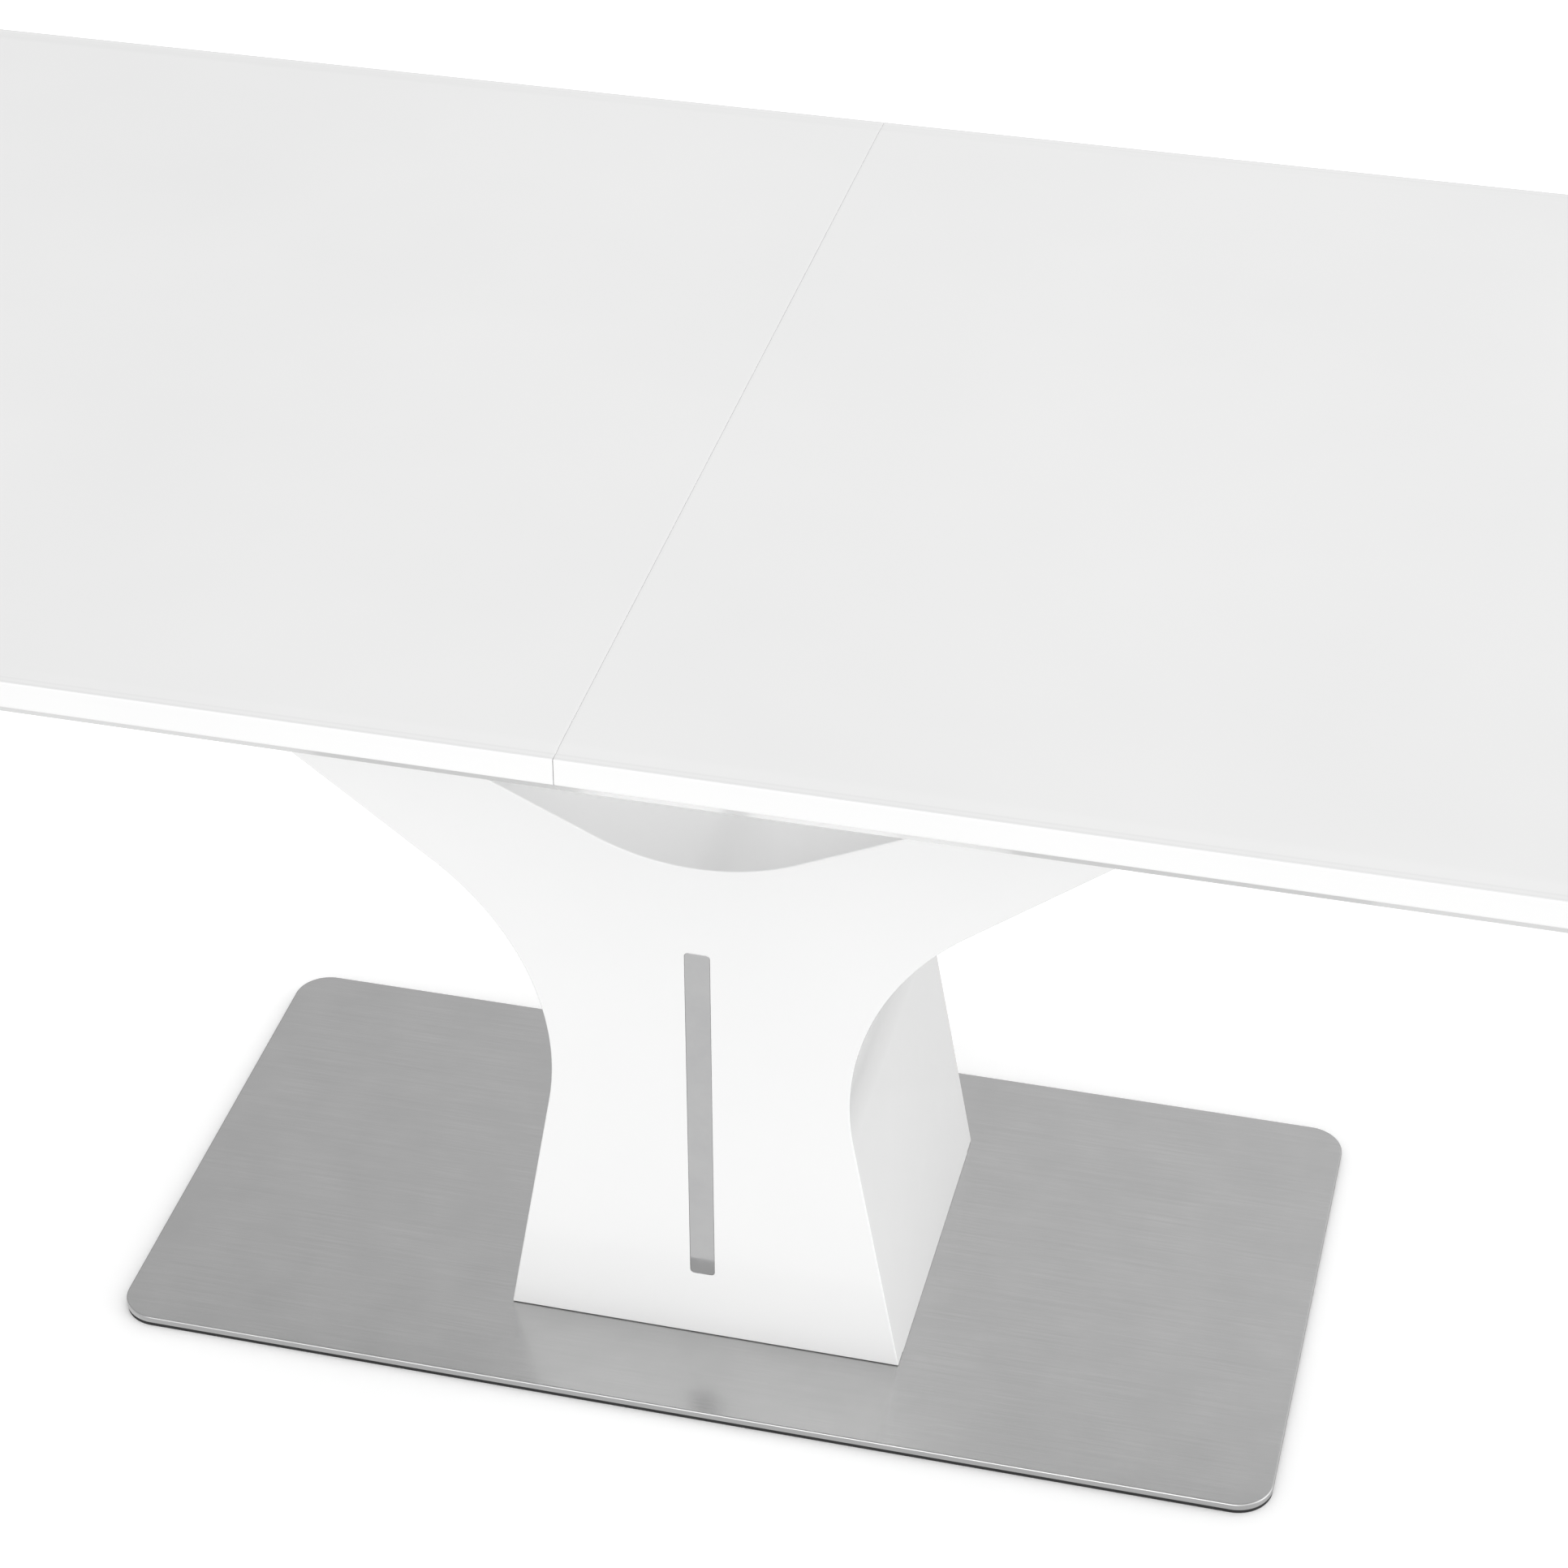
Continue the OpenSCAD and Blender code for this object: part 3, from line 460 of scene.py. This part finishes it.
def bevel_where(bm, chosen, width, segments=3):
    """Round the edges that chosen(edge) picks."""
    bmesh.ops.recalc_face_normals(bm, faces=bm.faces)
    edges = [e for e in bm.edges if chosen(e)]
    bmesh.ops.bevel(
        bm, geom=edges, offset=width, segments=segments, profile=0.5, affect="EDGES", clamp_overlap=True
    )


def inlay_outline(gap):
    centre_z = (INLAY_LOW.z + INLAY_HIGH.z) / 2
    wide = INLAY_HIGH.x - INLAY_LOW.x + 2 * gap
    tall = INLAY_HIGH.z - INLAY_LOW.z + 2 * gap
    return [(x, z + centre_z) for x, z in round_rectangle(wide, tall, INLAY_CORNER + gap, 8)]


def rounded_foot():
    """Right side of a panel with its lower corner eased."""
    side = outer_side(0)
    ease = FOOT_R * (slope(SIDE_LEAN) + 1 / math.cos(math.radians(SIDE_LEAN)))
    centre = (side[0][0] - ease, FOOT_Z + FOOT_R)
    return [*arc(centre, FOOT_R, -90, SIDE_LEAN, 8), *side[1:]]


def panel(name, node, turned):
    outline = [*rounded_foot(), *scoop_side(0)]
    outline += mirrored(outline)
    tidy = [p for i, p in enumerate(outline) if math.dist(p, outline[i - 1]) > SAME]
    bm = prism(tidy, PANEL_FRONT, PANEL_BACK, upright)
    bevel_where(bm, lambda e: all(abs(v.co.y - PANEL_FRONT) < SAME for v in e.verts), PANEL_ARRIS)
    bm = cut(bm, prism(inlay_outline(INLAY_PLAY), PANEL_FRONT - CLEAR, INLAY_HIGH.y, upright))
    return finish_piece(name, bm, "white_lacquer", [node], "frame", turned)


def inlay(name, node, turned):
    bm = prism(inlay_outline(0), INLAY_LOW.y, INLAY_HIGH.y, upright)
    bevel_where(bm, lambda e: all(abs(v.co.y - INLAY_LOW.y) < SAME for v in e.verts), INLAY_ARRIS, 2)
    return finish_piece(name, bm, "polished_stainless", [node], "frame", turned)


def side_skin(name, node, turned):
    outer = outer_side(0)
    inner = outer_side(SKIN)
    bm = prism([*outer, *reversed(inner)], PANEL_BACK, -PANEL_BACK, upright)
    return finish_piece(name, bm, "white_lacquer", [node], "frame", turned)


def scoop_skin():
    upper = [*scoop_side(0), *mirrored(scoop_side(0))[1:]]
    lower = [*scoop_side(SKIN), *mirrored(scoop_side(SKIN))[1:]]
    bm = prism([*upper, *reversed(lower)], PANEL_BACK, -PANEL_BACK, upright)
    return finish_piece("scoop_lining", bm, "white_lacquer", ["scoop_skin"], "frame")


panel("front_face", "front_panel", False)
panel("back_face", "back_panel", True)
side_skin("right_side", "right_side_skin", False)
side_skin("left_side", "left_side_skin", True)
scoop_skin()
inlay("front_strip", "front_inlay", False)
inlay("back_strip", "back_inlay", True)


# ---------------------------------------------------------------- base

COVER_LOW, COVER_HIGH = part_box("base_cover")
UNDER_LOW, UNDER_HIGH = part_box("base_underlay")
UNDERLAY_ARRIS = 0.3 * MM
CORNER_R = 28 * MM
ROLL_R = 1.3 * MM
SHEET = 1 * MM
HEM_TUCK = 0.5 * MM         # the hem's lower edge stands this far in
HEM_EASE = (0.1 * MM, 0.7 * MM)     # then this far in, at this height above it
RIM_FLAT = 12 * MM          # flat ring inside the roll
ROLL_STEPS = 8


def base_cover():
    """Folded sheet with a rolled rim, in rings: up from the hem, over the roll, and back down inside."""
    length = COVER_HIGH.x - COVER_LOW.x
    depth = COVER_HIGH.y - COVER_LOW.y
    inner_r = ROLL_R - SHEET
    outside = [(HEM_TUCK, COVER_LOW.z), (HEM_EASE[0], COVER_LOW.z + HEM_EASE[1])]
    for i in range(ROLL_STEPS + 1):
        a = math.pi / 2 * i / ROLL_STEPS
        outside.append((ROLL_R * (1 - math.cos(a)), COVER_HIGH.z - ROLL_R * (1 - math.sin(a))))
    outside.append((ROLL_R + RIM_FLAT, COVER_HIGH.z))
    inside = [(ROLL_R + RIM_FLAT, COVER_HIGH.z - SHEET)]
    for i in range(ROLL_STEPS, -1, -1):
        a = math.pi / 2 * i / ROLL_STEPS
        inset = SHEET + inner_r * (1 - math.cos(a))
        inside.append((inset, COVER_HIGH.z - SHEET - inner_r * (1 - math.sin(a))))
    inside.append((SHEET + HEM_TUCK, COVER_LOW.z))
    bm = bmesh.new()
    rings = []
    for inset, z in [*outside, *inside]:
        outline = round_rectangle(length - 2 * inset, depth - 2 * inset, CORNER_R - inset)
        rings.append([bm.verts.new((x, y, z)) for x, y in outline])
    count = len(rings[0])
    top_ring = len(outside) - 1
    for k in range(len(rings)):
        if k == top_ring:
            continue
        here, there = rings[k], rings[(k + 1) % len(rings)]
        for i in range(count):
            j = (i + 1) % count
            bm.faces.new((here[i], here[j], there[j], there[i]))
    bm.faces.new(rings[top_ring])
    bm.faces.new(list(reversed(rings[top_ring + 1])))
    uv = bm.loops.layers.uv.new("brushing")
    for face in bm.faces:
        for loop in face.loops:
            loop[uv].uv = (loop.vert.co.x, loop.vert.co.y + loop.vert.co.z)
    return finish_piece("steel_cover", bm, "brushed_stainless", ["base_cover"], "frame")


def underlay():
    length = UNDER_HIGH.x - UNDER_LOW.x
    depth = UNDER_HIGH.y - UNDER_LOW.y
    outline = round_rectangle(length, depth, CORNER_R - (COVER_HIGH.x - UNDER_HIGH.x))
    bm = prism(outline, UNDER_LOW.z, UNDER_HIGH.z, level)
    bevel_where(bm, lambda e: abs(e.verts[0].co.z - e.verts[1].co.z) < SAME, UNDERLAY_ARRIS, 2)
    return finish_piece("floor_mat", bm, "black_rubber", ["base_underlay"], "frame")


base_cover()
underlay()


# ---------------------------------------------------------------- tabletop

TOP_LOW, TOP_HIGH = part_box("left_tabletop")
EDGE_H = 19 * MM
OUTER_ARRIS = 1.4 * MM
BEVEL_ARRIS = 0.8 * MM
SEAM_ARRIS = 0.35 * MM
SEAM_EASE = 0.26 * MM
SEAM_GAP = 0.02 * MM
SEAM_ROLL, SEAM_DROP = 2.2 * MM, 0.07 * MM
# Lacquer near the edge, from the middle outward: distance from the edge and drop below the flat
FAT_EDGE = ((20, 0), (14, 0.22), (8, 0.70), (5.6, 0.56), (3.4, 0.60), (0, 0.40))
DOWEL_YS = (120 * MM, 360 * MM)
DOWEL_Z = TOP_HIGH.z - 15 * MM
# Dowel holes: depth from the seam and radius, where the dowel is glued and where it slides in
GLUED_HOLE = (24 * MM, 5.02 * MM)
LOOSE_HOLE = (14 * MM, 5.25 * MM)
# The seam widens towards its two ends: length of the wedge under the upright edge, and of the whole edge
LOWER_WEDGE, FULL_WEDGE = 18 * MM, 6 * MM


def rod_x(start, stop, y, z, radius, sides=32):
    """Closed round bar along X."""
    circle = arc((y, z), radius, 0, 360 - 360 / sides, sides - 1)
    return prism(circle, start, stop, lambda p, d: Vector((d, p[0], p[1])))


def join(parts):
    whole = bmesh.new()
    for part in parts:
        mesh = bpy.data.meshes.new("joining")
        part.to_mesh(mesh)
        part.free()
        whole.from_mesh(mesh)
        bpy.data.meshes.remove(mesh)
    return whole


def half_top(name, node, body, turned):
    """Lacquered half: upright edge and 45 degree bevel on three sides, square seam edge."""
    bevel = TOP_HIGH.z - TOP_LOW.z - EDGE_H
    seam = -SEAM_GAP
    roll = seam - SEAM_ROLL
    end, front, back = TOP_LOW.x, TOP_LOW.y, TOP_HIGH.y
    bm = bmesh.new()

    def ring(inset, z, seam_drop=0.0):
        left, near, far = end + inset, front + inset, back - inset
        corners = (
            (left, near, z), (roll, near, z), (seam, near, z - seam_drop),
            (seam, far, z - seam_drop), (roll, far, z), (left, far, z),
        )
        return [bm.verts.new(corner) for corner in corners]

    rings = [ring(inset * MM, TOP_HIGH.z - drop * MM, SEAM_DROP) for inset, drop in FAT_EDGE]
    rings += [ring(0, TOP_HIGH.z - EDGE_H), ring(bevel, TOP_LOW.z)]
    flat = rings[0]
    bm.faces.new((flat[0], flat[1], flat[4], flat[5]))
    bm.faces.new((flat[1], flat[2], flat[3], flat[4]))
    bm.faces.new(list(reversed(rings[-1])))
    for upper, lower in zip(rings, rings[1:]):
        for i, j in ((0, 1), (1, 2), (3, 4), (4, 5), (5, 0)):
            bm.faces.new((upper[j], upper[i], lower[i], lower[j]))
    bm.faces.new([r[2] for r in rings] + [r[3] for r in reversed(rings)])

    def at_seam(e):
        return all(abs(v.co.x - seam) < SAME for v in e.verts)

    def on_outline(v):
        return min(abs(v.co.x - end), abs(v.co.y - front), abs(v.co.y - back)) < SAME

    def along(e, low, high):
        return all(on_outline(v) and low < v.co.z < high for v in e.verts) and not at_seam(e)

    def lower_edge(e):
        foot = all(abs(v.co.z - TOP_LOW.z) < SAME for v in e.verts)
        corner = TOP_HIGH.z - EDGE_H
        return not at_seam(e) and (foot or along(e, corner - MM, corner + MM))

    bevel_where(bm, lambda e: along(e, TOP_HIGH.z - MM, TOP_HIGH.z + MM), OUTER_ARRIS, 4)
    bevel_where(bm, lower_edge, BEVEL_ARRIS, 3)
    bevel_where(bm, at_seam, SEAM_ARRIS, 2)
    holes = []
    for y in DOWEL_YS:
        for (depth, radius), side in ((GLUED_HOLE, 1), (LOOSE_HOLE, -1)):
            holes.append(rod_x(seam - depth, seam + CLEAR, side * y, DOWEL_Z, radius))
    bm = cut(bm, join(holes))
    for side, face in ((1, front), (-1, back)):
        for reach, ceiling in ((LOWER_WEDGE, TOP_HIGH.z - EDGE_H), (FULL_WEDGE, TOP_HIGH.z + MM)):
            mouth, tip = face - side * MM, face + side * reach
            wedge = [(seam - SEAM_EASE, mouth), (seam + MM, mouth), (seam + MM, tip), (seam, tip)]
            cutter = prism(wedge, TOP_LOW.z - MM, ceiling, level)
            bm = cut(bm, cutter)
    return finish_piece(name, bm, "white_lacquer", [node], body, turned)


half_top("left_half_top", "left_tabletop", "left_top", False)
half_top("right_half_top", "right_tabletop", "right_top", True)


# ---------------------------------------------------------------- pieces carried over from the frame

for name, node in nodes.items():
    if node.hide_render:
        continue
    node.data.materials.clear()
    node.data.materials.append(materials[slots[name]])


# ---------------------------------------------------------------- stage

FLOOR_HALF = 14.0
CONTACT_REACH = 0.06        # metres over which the contact shadow fades
# The floor's own glow: level at the origin, change per metre along X and Y, and its limits
GLOW, GLOW_X, GLOW_Y = 0.30, -0.16, 0.10
GLOW_MIN, GLOW_MAX = 0.22, 0.45


def floor_material():
    """Pale paper sweep that glows as painted light, more to the left and back where the dome lights it
    less, so it stays white under the table; ambient occlusion dims the glow near the base as a painted
    contact shadow.
    """
    m = Tree("floor_paper")
    fibre = m.noise(600.0, 3.0)
    # painted contact shadow: occlusion within this reach dims the floor's glow
    contact = m.add("ShaderNodeAmbientOcclusion", samples=8)
    contact.inputs["Distance"].default_value = CONTACT_REACH
    x, y, _ = m.axes()
    drift = m.maths("ADD", m.maths("MULTIPLY", x, GLOW_X), m.maths("MULTIPLY", y, GLOW_Y))
    glow = m.maths("MINIMUM", m.maths("MAXIMUM", m.maths("ADD", drift, GLOW), GLOW_MIN), GLOW_MAX)
    m.set(
        Base_Color=m.blend(m.span(fibre, 0.0, 1.0), (0.86, 0.86, 0.86), (0.88, 0.88, 0.88)),
        Roughness=0.9,
        Emission_Color=(1.0, 1.0, 1.0),
        # painted light, dimmed near the base as a painted contact shadow
        Emission_Strength=m.maths("MULTIPLY", contact.outputs["AO"], glow),
    )
    m.material.cycles.emission_sampling = "NONE"
    return m.material


def floor():
    """The stage plane. In reflections and bounced light the dome's low lights stand in for it."""
    mesh = bpy.data.meshes.new("floor")
    far = FLOOR_HALF
    corners = [(-far, -far, 0), (far, -far, 0), (far, far, 0), (-far, far, 0)]
    mesh.from_pydata(corners, [], [(0, 1, 2, 3)])
    mesh.materials.append(floor_material())
    ground = bpy.data.objects.new("floor", mesh)
    ground.visible_diffuse = False
    ground.visible_glossy = False
    ground.visible_shadow = False
    scene.collection.objects.link(ground)


# The studio, one row per soft light: name, direction it shines from, narrowness, strength
DOME = (
    ("ceiling", (0.0, 0.0, 1.0), 2, 0.15),
    ("front high", (0.0, -0.75, 0.66), 3, 0.45),
    ("front wall", (0.0, -1.0, 0.15), 4, 1.15),
    ("front window", (0.0, -1.0, 0.10), 24, 4.2),
    ("right high", (0.8, 0.0, 0.6), 3, 1.85),
    ("left high", (-0.8, 0.0, 0.6), 3, 0.4),
    ("right wall", (1.0, 0.0, 0.0), 4, 1.15),
    ("left wall", (-1.0, 0.0, 0.0), 4, 0.65),
    ("back high", (0.0, 0.8, 0.6), 3, 0.7),
    ("back wall", (0.0, 1.0, 0.1), 4, 0.4),
    ("floor", (0.0, 0.0, -1.0), 2, 0.35),
    ("front low", (0.0, -0.75, -0.66), 3, 0.5),
    ("right low", (0.75, 0.0, -0.66), 3, 0.55),
    ("left low", (-0.75, 0.0, -0.66), 3, 0.7),
    ("back low", (0.0, 0.75, -0.66), 3, 0.3),
)


def room_light():
    """A white studio made of the dome's soft lights."""
    world = bpy.data.worlds.new("studio")
    scene.world = world
    world.use_nodes = True
    tree = world.node_tree
    tree.nodes.clear()
    place = tree.nodes.new("ShaderNodeTexCoord")
    background = tree.nodes.new("ShaderNodeBackground")
    out = tree.nodes.new("ShaderNodeOutputWorld")
    total = 0.0
    for name, direction, narrowness, strength in DOME:
        dot = tree.nodes.new("ShaderNodeVectorMath")
        dot.label = name
        dot.operation = "DOT_PRODUCT"
        tree.links.new(place.outputs["Generated"], dot.inputs[0])
        dot.inputs[1].default_value = Vector(direction).normalized()
        facing = math_node(tree, "MAXIMUM", dot.outputs["Value"], 0.0)
        lobe = math_node(tree, "POWER", facing, narrowness)
        total = math_node(tree, "ADD", math_node(tree, "MULTIPLY", lobe, strength), total)
    tree.links.new(total, background.inputs["Strength"])
    tree.links.new(background.outputs["Background"], out.inputs["Surface"])


def softbox(name, place, aim, size, watts):
    data = bpy.data.lights.new(name, "AREA")
    data.shape = "RECTANGLE"
    data.size, data.size_y = size
    data.energy = watts
    lamp = bpy.data.objects.new(name, data)
    lamp.location = place
    lamp.rotation_mode = "QUATERNION"
    lamp.rotation_quaternion = (Vector(aim) - Vector(place)).to_track_quat("-Z", "Y")
    lamp.visible_camera = False
    lamp.visible_glossy = False
    scene.collection.objects.link(lamp)


# Camera in metres, degrees and millimetres of lens: right of the table's front, looking down on it
EYE = (0.6048, -2.3096, 2.0942)
AZIMUTH, ELEVATION, ROLL = 13.966, 34.883, -0.122
LENS, SENSOR = 91.11, 36.0


def camera():
    azimuth, elevation, roll = (math.radians(angle) for angle in (AZIMUTH, ELEVATION, ROLL))
    ahead = math.cos(elevation)
    forward = Vector((-math.sin(azimuth) * ahead, math.cos(azimuth) * ahead, -math.sin(elevation)))
    right = Vector((math.cos(azimuth), math.sin(azimuth), 0.0))
    up = right.cross(forward)
    across = math.cos(roll) * right + math.sin(roll) * up
    head = -math.sin(roll) * right + math.cos(roll) * up
    turn = Matrix((across, head, -forward)).transposed()
    data = bpy.data.cameras.new("camera")
    data.sensor_width = SENSOR
    data.lens = LENS
    eye = bpy.data.objects.new("camera", data)
    eye.matrix_world = Matrix.Translation(EYE) @ turn.to_4x4()
    scene.collection.objects.link(eye)
    scene.camera = eye


floor()
room_light()
softbox("scoop_fill", place=(0.0, 0.0, 0.632), aim=(0.0, 0.0, 0.4), size=(0.34, 0.24), watts=0.29)
camera()
scene.view_settings.view_transform = "Standard"
